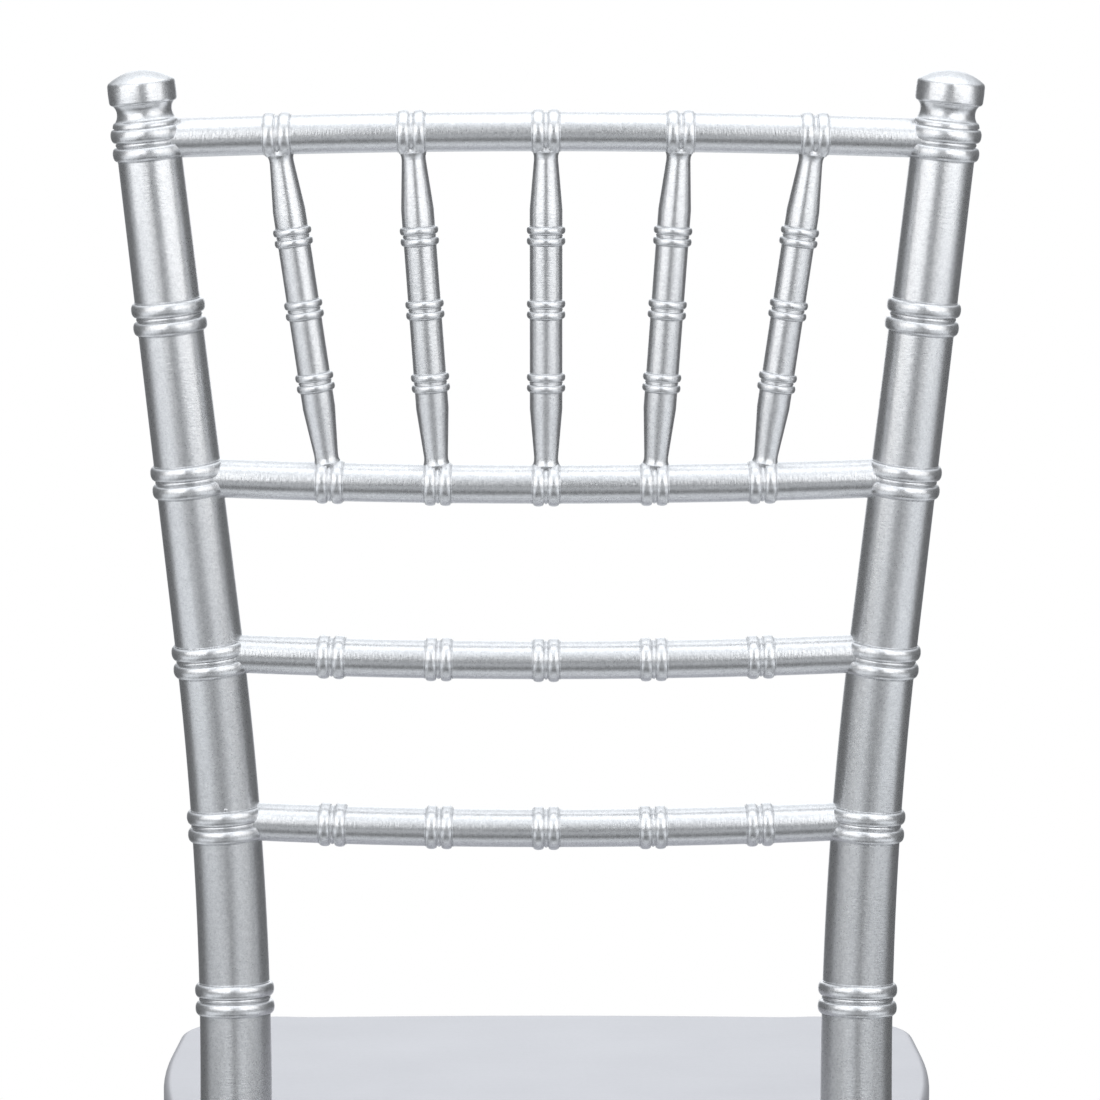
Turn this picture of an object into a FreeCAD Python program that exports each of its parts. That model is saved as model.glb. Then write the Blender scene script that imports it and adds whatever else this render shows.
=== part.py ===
import FreeCAD, Part
import math
import os
import Sketcher

# A chiavari chair of turned beech: two bent rear posts that carry the back, two turned front legs,
# a shaped plywood seat, four bowed back rails, five fanned spindles and eight rungs.
# Row frame: millimetres, +Z up, floor at z = 0, the sitter faces -Y, the sitter's left is +X.

Vector = FreeCAD.Vector
Placement = FreeCAD.Placement
Rotation = FreeCAD.Rotation

doc = FreeCAD.newDocument("ChiavariChair")
sheet = doc.addObject("Spreadsheet::Sheet", "Sizes")


# A size keeps its number together with the expression that gives it, so that geometry is drawn
# from the number and bound to the sheet by the expression.
class Size:
    def __init__(self, value, text):
        self.value = float(value)
        self.text = text

    def join(self, other, sign, value):
        other = asSize(other)
        return Size(value, "(" + self.text + " " + sign + " " + other.text + ")")

    def __add__(self, other):
        return self.join(other, "+", self.value + asSize(other).value)

    def __sub__(self, other):
        return self.join(other, "-", self.value - asSize(other).value)

    def __mul__(self, other):
        return self.join(other, "*", self.value * asSize(other).value)

    def __truediv__(self, other):
        return self.join(other, "/", self.value / asSize(other).value)

    def __neg__(self):
        return Size(-self.value, "(0 - " + self.text + ")")


def asSize(number):
    return number if isinstance(number, Size) else Size(number, repr(float(number)))


nothing = Size(0, "0")

nextRow = 1


# One row of the sheet: a name in column A and its number, with the name as alias, in column B.
def cell(alias, value):
    global nextRow
    sheet.set("A" + str(nextRow), alias)
    sheet.set("B" + str(nextRow), repr(round(float(value), 6)))
    sheet.setAlias("B" + str(nextRow), alias)
    nextRow += 1
    return Size(round(float(value), 6), "Sizes." + alias)


# Overall
chairHeight = cell("chair_height", 920)
seatHeight = cell("seat_height", 444)
seatThickness = cell("seat_thickness", 20)
frontLegSpread = cell("front_leg_spread", 157)
frontLegSetBack = cell("front_leg_set_back", 34)

# Rear post: straight below, one steam-bent arc, straight above
postCentreX = cell("post_centre_half_width", 137.91)
postCentreY = cell("post_centre_back", 156.2)
bendStart = cell("post_bend_start_height", 450)
bendRadius = cell("post_bend_radius", 977)
bendAngle = cell("post_bend_degrees", 12.96)
footSplayOut = cell("foot_splay_out", 0.0068)
footSplayBack = cell("foot_splay_back", 0.08)
bendOut = cell("post_bend_outward_part", 0.1138)
bendBack = cell("post_bend_backward_part", 0.2)
postFootRadius = cell("post_foot_radius", 13)
postSeatRadius = cell("post_seat_radius", 16)
postTopRadius = cell("post_top_radius", 13.95)
postStock = cell("post_stock_below_floor", 6)

# Turned rings: each ring pair is two beads with a groove between them
postBeadRise = cell("post_bead_rise", 1.9)
postPairHalf = cell("post_ring_pair_half_length", 7.3)
postCrest = cell("post_bead_crest_from_middle", 3.9)
smallBeadRise = cell("small_bead_rise", 1.3)
smallPairHalf = cell("small_ring_pair_half_length", 5.6)
smallCrest = cell("small_bead_crest_from_middle", 3.0)
spindlePairHalf = cell("spindle_ring_pair_half_length", 4.2)
spindleCrest = cell("spindle_bead_crest_from_middle", 2.2)
grooveRise = cell("groove_above_shaft", 0.2)
ringRoot = cell("ring_root_below_shaft", 1.0)

# Finial on each post, measured from the top ring pair
stepRadius = cell("finial_step_radius", 14.0)
neckRadius = cell("finial_neck_radius", 11.9)
capRadius = cell("finial_cap_radius", 14.7)
stepTop = cell("finial_step_top", 8.0)
neckMiddle = cell("finial_neck_middle", 13.6)
capBottom = cell("finial_cap_bottom", 17.6)
capEdge = cell("finial_cap_lower_round", 2.2)
domeRise = cell("finial_dome_rise", 5.6)

# Back rails
railRadius = cell("rail_radius", 8.5)
railTenonRadius = cell("rail_tenon_radius", 6)
railEndFromAxis = cell("rail_end_from_post_axis", 11)
tenonFromAxis = cell("tenon_end_from_leg_axis", 1.0)
glueGap = cell("glue_gap", 0.05)
railBow = cell("rail_bow", 5)
topRise = cell("top_rail_rise", 3)
lowerDrop = cell("lower_rail_drop", 3)
topPitch = cell("top_rail_collar_pitch", 57.9)
lowerPitch = cell("lower_rail_collar_pitch", 47.2)
collarCount = cell("collar_count", 5)

# Spindles
spindleEndRadius = cell("spindle_end_radius", 5.25)
spindleRadius = cell("spindle_radius", 7.1)
spindleRingPitch = cell("spindle_ring_pitch", 32)
spindleShoulder = cell("spindle_shoulder_from_outer_ring", 7)
spindleTaperStart = cell("spindle_taper_start", 10)
spindleBoreLength = cell("spindle_bore_length", 14)

# Rungs between the legs
rungRadius = cell("rung_radius", 8.2)
rungEndRadius = cell("rung_end_radius", 6.3)
rungRingFromMiddle = cell("rung_ring_from_middle", 50)
rungTaperStart = cell("rung_taper_start", 18)
rungBoreLength = cell("rung_bore_length", 24)
boreRelief = cell("bore_relief", 0.4)

# Front legs
legTopRadius = cell("front_leg_top_radius", 15)
legFootRadius = cell("front_leg_foot_radius", 12.5)
legTenonRadius = cell("front_leg_tenon_radius", 9)
legTenonLength = cell("front_leg_tenon_length", 13)

# Seat plan
seatHalfWidth = cell("seat_half_width", 189)
seatFrontFromPost = cell("seat_front_from_post_axis", 361)
seatRearCrown = cell("seat_rear_crown_from_front", 378)
seatNotchGap = cell("seat_notch_gap", 0.4)
seatEdgeRound = cell("seat_top_edge_round", 4)
notchOverrun = cell("seat_notch_cut_overrun", 10)
socketStart = cell("leg_socket_cut_below_seat", 1)
socketRelief = cell("leg_socket_relief", 0.5)

# Hardware
glideRadius = cell("glide_radius", 9.5)
glideHeight = cell("glide_height", 4)
floorCutSide = cell("floor_cut_side", 200)
floorCutDepth = cell("floor_cut_depth", 60)
glideChamfer = cell("glide_chamfer", 1)
glideStemRadius = cell("glide_stem_radius", 1.6)
glideStemLength = cell("glide_stem_length", 14)
pinRadius = cell("rail_pin_radius", 0.8)
pinLength = cell("rail_pin_length", 18)
pinInside = cell("rail_pin_inside_post_axis", 3)
pinHeadBack = cell("rail_pin_head_back", 14.6)
topPinHeadBack = cell("top_rail_pin_head_back", 11.4)
pinHeadAbove = cell("rail_pin_head_above_rail", 8)
plateThickness = cell("bracket_thickness", 2)
plateWidth = cell("bracket_width", 20)
plateReach = cell("bracket_reach", 34)
plateDrop = cell("bracket_drop", 22)
plateHoleRadius = cell("bracket_hole_radius", 2.2)
seatScrewFromCorner = cell("seat_screw_from_corner", 23)
legScrewBelowSeat = cell("leg_screw_below_seat", 13)
screwRadius = cell("screw_radius", 2)
screwLength = cell("screw_length", 13)
screwHeadRadius = cell("screw_head_radius", 3.8)
screwHeadHeight = cell("screw_head_height", 2.2)

# Heights of the ring pairs on the rear posts, of the back rails at the posts, and of the rungs
postRingHeights = (110, 205, 300, 388, 511.1, 589.1, 663.2, 742.6, 813.7, 888.7)
railHeights = {"top_rail": 890.1, "spindle_rail": 743.4, "middle_rail": 665.7, "lower_rail": 590.7}
legRingHeights = (110, 205, 300, 388)
crossRungHeights = {"upper": 300, "lower": 205}
sideRungHeights = {"upper": 255, "lower": 160}


# The post's axis, given by its length from the start of the bend
upward = Vector(-footSplayOut.value, -footSplayBack.value, 1).normalize()
sideways = Vector(bendOut.value, bendBack.value, 0)
sideways = (sideways - upward * sideways.dot(upward)).normalize()
bendCentre = Vector(postCentreX.value, postCentreY.value, bendStart.value)
postPlacement = Placement(bendCentre, Rotation(sideways, upward.cross(sideways), upward, "ZXY"))
bendLength = bendRadius.value * math.radians(bendAngle.value)


# Offset across, offset along and tilt in degrees of the axis, in the plane of the bend
def bendStation(length):
    if length <= 0:
        return 0.0, length, 0.0
    turn = min(length, bendLength) / bendRadius.value
    beyond = max(0.0, length - bendLength)
    across = bendRadius.value * (1 - math.cos(turn)) + beyond * math.sin(turn)
    along = bendRadius.value * math.sin(turn) + beyond * math.cos(turn)
    return across, along, math.degrees(turn)


def axisPoint(length):
    across, along, tilt = bendStation(length)
    return postPlacement.multVec(Vector(across, 0, along))


def lengthAtHeight(height):
    low, high = -bendStart.value - 50, chairHeight.value
    for step in range(60):
        middle = (low + high) / 2
        if axisPoint(middle).z < height:
            low = middle
        else:
            high = middle
    return (low + high) / 2


def postAt(height):
    return axisPoint(lengthAtHeight(height))


def originPlane(body, role):
    return [part for part in body.Origin.OriginFeatures if part.Role == role][0]


def newSketch(body, name, role):
    sketch = body.newObject("Sketcher::SketchObject", name)
    sketch.AttachmentSupport = [(originPlane(body, role), "")]
    sketch.MapMode = "FlatFace"
    return sketch


def bindPoint(sketch, kind, edge, size, end=1):
    if abs(size.value) < 1e-9:
        axis = -2 if kind == "DistanceX" else -1
        sketch.addConstraint(Sketcher.Constraint("PointOnObject", edge, end, axis))
        return
    number = sketch.addConstraint(Sketcher.Constraint(kind, -1, 1, edge, end, size.value))
    sketch.setExpression("Constraints[" + str(number) + "]", size.text)


# A closed outline; an edge listed in arcs passes through the middle point given for it
def drawOutline(sketch, corners, arcs=None):
    arcs = arcs or {}
    corners = [(asSize(across), asSize(along)) for across, along in corners]
    points = [Vector(across.value, along.value, 0) for across, along in corners]
    count = len(corners)
    ends = []
    for index in range(count):
        start, finish = points[index], points[(index + 1) % count]
        if index not in arcs:
            sketch.addGeometry(Part.LineSegment(start, finish), False)
            ends.append((1, 2))
            continue
        middle = Vector(arcs[index][0], arcs[index][1], 0)
        curve = Part.Arc(start, middle, finish)
        sketch.addGeometry(curve, False)
        counterClockwise = (middle - start).cross(finish - middle).z > 0
        ends.append((1, 2) if counterClockwise else (2, 1))
        sketch.addConstraint(Sketcher.Constraint("Radius", index, curve.toShape().Curve.Radius))
    for index in range(count):
        following = (index + 1) % count
        sketch.addConstraint(
            Sketcher.Constraint("Coincident", index, ends[index][1], following, ends[following][0]))
    for index, (across, along) in enumerate(corners):
        bindPoint(sketch, "DistanceX", index, across, ends[index][0])
        bindPoint(sketch, "DistanceY", index, along, ends[index][0])


def drawCircle(sketch, radius):
    sketch.addGeometry(Part.Circle(Vector(0, 0, 0), Vector(0, 0, 1), radius.value), False)
    sketch.addConstraint(Sketcher.Constraint("Coincident", 0, 3, -1, 1))
    number = sketch.addConstraint(Sketcher.Constraint("Radius", 0, radius.value))
    sketch.setExpression("Constraints[" + str(number) + "]", radius.text)


def plainName(label):
    return label.replace("_", " ").title().replace(" ", "")


def newBody(label):
    body = doc.addObject("PartDesign::Body", plainName(label))
    body.Label = label
    return body


def revolve(body, name, sketch, axis, angle=360):
    feature = body.newObject("PartDesign::Revolution", name)
    feature.Profile = sketch
    feature.ReferenceAxis = (sketch, [axis])
    feature.Angle = angle
    return feature


# Outline of one ring pair on a shaft, from its lower end to its upper: bead, groove, bead
def pairOutline(middle, half, crest, rise, radius, lowerRadius, upperRadius):
    return [
        (lowerRadius, middle - half),
        (radius + rise, middle - crest),
        (radius + grooveRise, middle),
        (radius + rise, middle + crest),
        (upperRadius, middle + half),
    ]


# A straight turned piece between two points; outline holds radius and distance from the start
def turnedPiece(label, start, finish, outline):
    body = newBody(label)
    sketch = newSketch(body, "Outline", "XZ_Plane")
    corners = [(nothing, outline[0][1])] + outline + [(nothing, outline[-1][1])]
    drawOutline(sketch, corners)
    revolve(body, "Turning", sketch, "V_Axis")
    body.Placement = Placement(start, Rotation(Vector(0, 0, 1), finish - start))
    return body


def cylinder(name, radius, height, start, direction):
    tool = doc.addObject("Part::Cylinder", name)
    tool.setExpression("Radius", radius.text)
    tool.setExpression("Height", height.text)
    tool.Placement = Placement(start, Rotation(Vector(0, 0, 1), direction))
    return tool


def fuse(name, shapes):
    if len(shapes) == 1:
        return shapes[0]
    joined = doc.addObject("Part::MultiFuse", name)
    joined.Shapes = shapes
    joined.Refine = False
    return joined


def cut(label, base, tools):
    result = doc.addObject("Part::Cut", plainName(label) + "Cut")
    result.Label = label
    result.Base = base
    result.Tool = fuse(plainName(label) + "Tools", tools)
    result.Refine = False
    return result


nodes = []


def keep(label, item):
    item.Label = label
    nodes.append((label, item))
    return item


# Back rails. Each is an arc in its own X-Y plane, the middle of the arc at its origin
def railFrame(height, rise):
    end = postAt(height)
    middle = Vector(0, end.y + railBow.value, height + rise)
    turn = math.degrees(math.atan2(rise, railBow.value))
    sag = math.hypot(rise, railBow.value)
    radius = (end.x ** 2 + sag ** 2) / (2 * sag)
    return end.x, radius, Placement(middle, Rotation(Vector(1, 0, 0), turn))


def railPoint(rail, distance):
    radius = rail["arc"].value
    turn = distance / radius
    return rail["frame"].multVec(Vector(radius * math.sin(turn), -radius * (1 - math.cos(turn)), 0))


rails = {}
for label, height in railHeights.items():
    rise = topRise.value if label == "top_rail" else -lowerDrop.value
    pitch = topPitch if label == "top_rail" else lowerPitch
    half, arcNumber, frame = railFrame(height, rise)
    arcRadius = cell(label + "_arc_radius", arcNumber)
    bodyHalf = math.degrees(math.asin((half - railEndFromAxis.value) / arcNumber))
    tenonHalf = math.degrees(math.asin((half - tenonFromAxis.value) / arcNumber))
    bodyDegrees = cell(label + "_body_degrees", 2 * bodyHalf)
    tenonDegrees = cell(label + "_tenon_degrees", 2 * tenonHalf)
    collarDegrees = cell(label + "_collar_degrees", math.degrees(pitch.value / arcNumber))
    body = newBody(label)
    body.Placement = frame
    parts = (("Shaft", railRadius, bodyDegrees), ("Tenons", railTenonRadius, tenonDegrees))
    rails[label] = {"arc": arcRadius, "parts": parts, "frame": frame, "body": body}
    for name, radius, angle in parts:
        section = newSketch(body, name + "Section", "YZ_Plane")
        drawCircle(section, radius)
        farEnds = [Vector(-arcRadius.value, side * railRadius.value, 0) for side in (-1, 1)]
        far = section.addGeometry(Part.LineSegment(*farEnds), True)
        section.addConstraint(Sketcher.Constraint("Vertical", far))
        bindPoint(section, "DistanceX", far, -arcRadius)
        bindPoint(section, "DistanceY", far, -railRadius)
        sweep = revolve(body, name, section, "Axis0")
        sweep.Midplane = True
        sweep.setExpression("Angle", angle.text)
    collarSketch = newSketch(body, "CollarOutline", "XY_Plane")
    root = railRadius - ringRoot
    pair = pairOutline(nothing, smallPairHalf, smallCrest, smallBeadRise, railRadius, root, root)
    drawOutline(collarSketch, [(along, across) for across, along in pair])
    first = 2 * math.radians(collarDegrees.value)
    collarSketch.AttachmentOffset = Placement(
        Vector(-arcNumber * math.sin(first), -arcNumber * (1 - math.cos(first)), 0),
        Rotation(Vector(0, 0, 1), math.degrees(first)))
    collar = revolve(body, "Collar", collarSketch, "H_Axis")
    centre = newSketch(body, "BowCentre", "XY_Plane")
    centre.AttachmentOffset = Placement(Vector(0, -arcNumber, 0), Rotation())
    centre.setExpression(".AttachmentOffset.Base.y", (-arcRadius).text)
    pattern = body.newObject("PartDesign::PolarPattern", "Collars")
    pattern.Originals = [collar]
    pattern.Axis = (centre, ["N_Axis"])
    pattern.Reversed = True
    pattern.setExpression("Angle", (collarDegrees * 4).text)
    pattern.setExpression("Occurrences", collarCount.text)
    body.Tip = pattern


# Rear post in its own frame: Z along the lower leg, X the way it bends, the bend's start at the origin
def stationOffset(length, turned):
    across, along, tilt = bendStation(length)
    if turned:
        return Placement(Vector(across, along, 0), Rotation(Vector(0, 0, 1), -tilt))
    return Placement(Vector(across, 0, along), Rotation(Vector(0, 1, 0), tilt))


def shaftRadiusAt(length):
    seat = lengthAtHeight(seatHeight.value)
    foot, top = lengthAtHeight(0), lengthAtHeight(postRingHeights[-1])
    if length < seat:
        share = (length - foot) / (seat - foot)
        return postFootRadius + (postSeatRadius - postFootRadius) * share
    share = (length - seat) / (top - seat)
    return postSeatRadius + (postTopRadius - postSeatRadius) * share


post = newBody("post_turning")
post.Placement = postPlacement
footLength = lengthAtHeight(-postStock.value)
topLength = lengthAtHeight(postRingHeights[-1])
spine = newSketch(post, "Spine", "XZ_Plane")
bendAcross, bendAlong, bendTilt = bendStation(bendLength)
topAcross, topAlong, topTilt = bendStation(topLength)
halfAcross, halfAlong, halfTilt = bendStation(bendLength / 2)
spineStart = Vector(0, footLength, 0)
bendPoints = [Vector(0, 0, 0), Vector(halfAcross, halfAlong, 0), Vector(bendAcross, bendAlong, 0)]
spineEnd = Vector(topAcross, topAlong, 0)
spine.addGeometry(Part.LineSegment(spineStart, bendPoints[0]), False)
spine.addGeometry(Part.Arc(*bendPoints), False)
spine.addGeometry(Part.LineSegment(bendPoints[2], spineEnd), False)
sections = []
seatLength = lengthAtHeight(seatHeight.value)
for name, length in (("Foot", footLength), ("SeatLevel", seatLength), ("Top", topLength)):
    section = newSketch(post, name + "Section", "XY_Plane")
    drawCircle(section, shaftRadiusAt(length))
    section.AttachmentOffset = stationOffset(length, False)
    sections.append(section)
pipe = post.newObject("PartDesign::AdditivePipe", "Shaft")
pipe.Profile = sections[0]
pipe.Spine = (spine, ["Edge1", "Edge2", "Edge3"])
pipe.Sections = sections[1:]
pipe.Transformation = "Multisection"

for number, height in enumerate(postRingHeights[:-1]):
    length = lengthAtHeight(height)
    radius = shaftRadiusAt(length)
    ring = newSketch(post, "RingOutline" + str(number + 1), "XZ_Plane")
    ring.AttachmentOffset = stationOffset(length, True)
    root = radius - ringRoot
    drawOutline(ring, pairOutline(nothing, postPairHalf, postCrest, postBeadRise, radius, root, root))
    revolve(post, "Ring" + str(number + 1), ring, "V_Axis")

finial = newSketch(post, "FinialOutline", "XZ_Plane")
finial.AttachmentOffset = stationOffset(topLength, True)
domeRadius = (capRadius.value ** 2 + domeRise.value ** 2) / (2 * domeRise.value)
upperSlope = (axisPoint(topLength) - axisPoint(topLength - 1)).z
topRoom = chairHeight.value - axisPoint(topLength).z
finialTop = cell("finial_top", (topRoom - domeRadius) / upperSlope + domeRadius)
wallTop = finialTop - domeRise
root = postTopRadius - ringRoot
corners = [(nothing, -postPairHalf)]
corners += pairOutline(nothing, postPairHalf, postCrest, postBeadRise, postTopRadius, root, stepRadius)
corners += [
    (stepRadius, stepTop),
    (capRadius - capEdge, capBottom),
    (capRadius, capBottom + capEdge),
    (capRadius, wallTop),
    (nothing, finialTop),
]
edgeMiddle = capEdge.value * (1 - math.sqrt(0.5))
domeMiddle = domeRadius * math.sin(math.asin(capRadius.value / domeRadius) / 2)
domeDrop = domeRadius - math.sqrt(domeRadius ** 2 - domeMiddle ** 2)
drawOutline(finial, corners, {
    6: (neckRadius.value, neckMiddle.value),
    7: (capRadius.value - edgeMiddle, capBottom.value + edgeMiddle),
    9: (domeMiddle, finialTop.value - domeDrop),
})
revolve(post, "Finial", finial, "V_Axis")


# Bores that a leg or post gets for the round ends of what it carries
def boreTool(name, radius, axisStart, towards, depth):
    direction = (towards - axisStart).normalize()
    start = axisStart + direction * (tenonFromAxis.value - boreRelief.value)
    return cylinder(name, radius + glueGap, depth, start, direction)


# A turned rung between two leg axes, with a ring pair each side of its middle
def rung(label, first, second):
    direction = (second - first).normalize()
    start = first + direction * tenonFromAxis.value
    finish = second - direction * tenonFromAxis.value
    length = cell(label + "_length", (finish - start).Length)
    middle = length / 2
    outline = [(rungEndRadius, nothing), (rungEndRadius, rungTaperStart)]
    for place in (middle - rungRingFromMiddle, middle + rungRingFromMiddle):
        outline += pairOutline(place, smallPairHalf, smallCrest, smallBeadRise,
                               rungRadius, rungRadius, rungRadius)
    outline += [(rungEndRadius, length - rungTaperStart), (rungEndRadius, length)]
    keep(label, turnedPiece(label, start, finish, outline))


def mirrored(label, source):
    copy = doc.addObject("Part::Mirroring", plainName(label) + "Mirror")
    copy.Source = source
    copy.Normal = Vector(1, 0, 0)
    return keep(label, copy)


frontY = postAt(seatHeight.value).y - seatFrontFromPost.value
legAxis = Vector(frontLegSpread.value, frontY + frontLegSetBack.value, 0)


def legAt(height):
    return legAxis + Vector(0, 0, height)


def mirrorPoint(point):
    return Vector(-point.x, point.y, point.z)


# Tools for the left rear post: floor cut, stepped bores for the rails, bores for the rungs, pin holes
postTools = []
postFoot = postAt(glideHeight.value)
floorBlock = doc.addObject("Part::Box", "FloorBlock")
floorBlock.setExpression("Length", floorCutSide.text)
floorBlock.setExpression("Width", floorCutSide.text)
floorBlock.setExpression("Height", floorCutDepth.text)
floorBlockCorner = Vector(floorCutSide.value / 2, floorCutSide.value / 2, floorCutDepth.value)
floorBlock.Placement = Placement(postFoot - floorBlockCorner, Rotation())
postTools.append(floorBlock)
for label, rail in rails.items():
    arc = rail["arc"]
    for name, radius, angle in rail["parts"]:
        tool = doc.addObject("Part::Torus", plainName(label) + name + "Bore")
        opening = angle.value + math.degrees(2 * boreRelief.value / arc.value)
        tool.setExpression("Radius1", arc.text)
        tool.setExpression("Radius2", (radius + glueGap).text)
        tool.Angle3 = opening
        swing = Rotation(Vector(0, 0, 1), 90 - opening / 2)
        tool.Placement = rail["frame"].multiply(Placement(Vector(0, -arc.value, 0), swing))
        postTools.append(tool)
for level, height in crossRungHeights.items():
    start = postAt(height)
    name = "BackBore" + level
    postTools.append(boreTool(name, rungEndRadius, start, mirrorPoint(start), rungBoreLength))
for level, height in sideRungHeights.items():
    name = "SidePostBore" + level
    postTools.append(boreTool(name, rungEndRadius, postAt(height), legAt(height), rungBoreLength))

# Corner brackets on the left side: local X away from the leg, local Z up, the corner at the origin
bracketFrames = {}
seatUnderside = seatHeight.value - seatThickness.value
rearRadius = shaftRadiusAt(lengthAtHeight(seatUnderside)).value
for label, axis, radius in (
        ("front", legAt(seatUnderside), legTopRadius.value),
        ("rear", postAt(seatUnderside - plateDrop.value), rearRadius)):
    corner = Vector(axis.x - radius - glueGap.value, axis.y, seatUnderside)
    bracketFrames[label] = Placement(corner, Rotation(Vector(0, 0, 1), 180))


# Head and direction of each screw of a bracket: up into the seat, and out into the leg
def screwPlaces(frame):
    headDepth = plateThickness.value + screwHeadHeight.value
    under = frame.multVec(Vector(seatScrewFromCorner.value, 0, -headDepth))
    beside = frame.multVec(Vector(headDepth, 0, -legScrewBelowSeat.value))
    outward = frame.Rotation.multVec(Vector(-1, 0, 0))
    return {"seat": (under, Vector(0, 0, 1)), "leg": (beside, outward)}


def pilotTool(name, place):
    head, direction = place
    return cylinder(name, screwRadius, screwLength + screwHeadHeight + plateThickness, head, direction)


def mirrorPlace(place):
    head, direction = place
    return mirrorPoint(head), mirrorPoint(direction)


def stemTool(name, foot):
    return cylinder(name, glideStemRadius, glideStemLength, foot, Vector(0, 0, 1))


postTools.append(pilotTool("RearScrewPilot", screwPlaces(bracketFrames["rear"])["leg"]))
postTools.append(stemTool("PostStemHole", postFoot))

pinPlaces = {}
for label in rails:
    axis = postAt(railHeights[label])
    target = Vector(axis.x - pinInside.value, axis.y, railHeights[label])
    headBack = topPinHeadBack if label == "top_rail" else pinHeadBack
    head = target + Vector(0, headBack.value, pinHeadAbove.value)
    pinPlaces[label] = (head, (target - head).normalize())
    postTools.append(cylinder(plainName(label) + "PostPinHole", pinRadius, pinLength, *pinPlaces[label]))

leftPost = cut("rear_post_left", post, postTools)
nodes.append(("rear_post_left", leftPost))
mirrored("rear_post_right", leftPost)

# Rails with bores for the spindles, and the spindles
spindleTools = {"top_rail": [], "spindle_rail": []}
spindles = []
for number in range(5):
    place = number - 2
    upper = railPoint(rails["top_rail"], place * topPitch.value)
    lower = railPoint(rails["spindle_rail"], place * lowerPitch.value)
    spindles.append((lower, upper))
    for label, start, finish in (("top_rail", upper, lower), ("spindle_rail", lower, upper)):
        name = plainName(label) + "Bore" + str(number + 1)
        spindleTools[label].append(boreTool(name, spindleEndRadius, start, finish, spindleBoreLength))
for label in rails:
    body = rails[label]["body"]
    body.Label = label + "_turning"
    tools = spindleTools.get(label, [])
    for side, place in (("Left", pinPlaces[label]), ("Right", mirrorPlace(pinPlaces[label]))):
        tools.append(cylinder(plainName(label) + side + "PinHole", pinRadius, pinLength, *place))
    nodes.append((label, cut(label, body, tools)))
for number, (lower, upper) in enumerate(spindles):
    label = "spindle_" + str(number + 1)
    direction = (upper - lower).normalize()
    start = lower + direction * tenonFromAxis.value
    finish = upper - direction * tenonFromAxis.value
    length = cell(label + "_length", (finish - start).Length)
    middle = length / 2
    reach = spindleRingPitch + spindlePairHalf + spindleShoulder
    outline = [(spindleEndRadius, nothing), (spindleEndRadius, spindleTaperStart)]
    outline.append((spindleRadius, middle - reach))
    for place in (middle - spindleRingPitch, middle, middle + spindleRingPitch):
        outline += pairOutline(place, spindlePairHalf, spindleCrest, smallBeadRise,
                               spindleRadius, spindleRadius, spindleRadius)
    outline.append((spindleRadius, middle + reach))
    outline += [(spindleEndRadius, length - spindleTaperStart), (spindleEndRadius, length)]
    keep(label, turnedPiece(label, start, finish, outline))

# Front legs
seatBottom = seatHeight - seatThickness
legLength = seatBottom - glideHeight
outline = [(legFootRadius, nothing)]
for height in legRingHeights:
    share = height / seatBottom.value
    radius = legFootRadius + (legTopRadius - legFootRadius) * share
    place = asSize(height) - glideHeight
    outline += pairOutline(place, postPairHalf, postCrest, postBeadRise, radius, radius, radius)
outline += [(legTopRadius, legLength), (legTenonRadius, legLength)]
outline.append((legTenonRadius, legLength + legTenonLength))
legTurning = turnedPiece("front_leg_turning", legAt(glideHeight.value), legAt(seatHeight.value), outline)
legTools = []
for level, height in crossRungHeights.items():
    start = legAt(height)
    legTools.append(boreTool("FrontBore" + level, rungEndRadius, start, mirrorPoint(start), rungBoreLength))
for level, height in sideRungHeights.items():
    name = "SideLegBore" + level
    legTools.append(boreTool(name, rungEndRadius, legAt(height), postAt(height), rungBoreLength))
legTools.append(pilotTool("FrontScrewPilot", screwPlaces(bracketFrames["front"])["leg"]))
legTools.append(stemTool("LegStemHole", legAt(glideHeight.value)))
leftLeg = cut("front_leg_left", legTurning, legTools)
nodes.append(("front_leg_left", leftLeg))
mirrored("front_leg_right", leftLeg)

# Rungs
for level, height in crossRungHeights.items():
    rung("front_rung_" + level, mirrorPoint(legAt(height)), legAt(height))
    rung("back_rung_" + level, mirrorPoint(postAt(height)), postAt(height))
for level, height in sideRungHeights.items():
    rung("side_rung_left_" + level, legAt(height), postAt(height))
    rung("side_rung_right_" + level, mirrorPoint(legAt(height)), mirrorPoint(postAt(height)))


# Seat board: bowed front between two shallow dips, round ears, gently curved sides, notches for the posts
board = newBody("seat_board")
board.Placement = Placement(Vector(0, frontY, seatUnderside), Rotation())
plan = newSketch(board, "Plan", "XY_Plane")

# Corners of the plan on the sitter's left, front middle first: across, distance back, rounding
postAcross = postAt(seatHeight.value).x
planCorners = [
    (0, -4.5, 1500),
    (127, 4.5, 60),
    (145.9, 0.8, 25),
    (seatHalfWidth.value, 24.7, 60),
    (seatHalfWidth.value, 217, 900),
    (postAcross + 23, 338, 12),
    (postAcross + 1.3, 352, 5),
    (postAcross + 1.3, 366, 5),
    (0, seatRearCrown.value, 1400),
]


# Outline points and arc middles of a polygon whose corners are all rounded
def roundedPolygon(corners):
    points = []
    arcs = {}
    for index, (across, along, radius) in enumerate(corners):
        here = Vector(across, along, 0)
        before = Vector(*corners[index - 1][:2], 0) - here
        after = Vector(*corners[(index + 1) % len(corners)][:2], 0) - here
        before.normalize()
        after.normalize()
        halfAngle = before.getAngle(after) / 2
        reach = radius / math.tan(halfAngle)
        inward = (before + after).normalize()
        middle = here + inward * (radius / math.sin(halfAngle) - radius)
        arcs[len(points)] = (middle.x, middle.y)
        points += [(here + before * reach), (here + after * reach)]
    return [(point.x, point.y) for point in points], arcs


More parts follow.
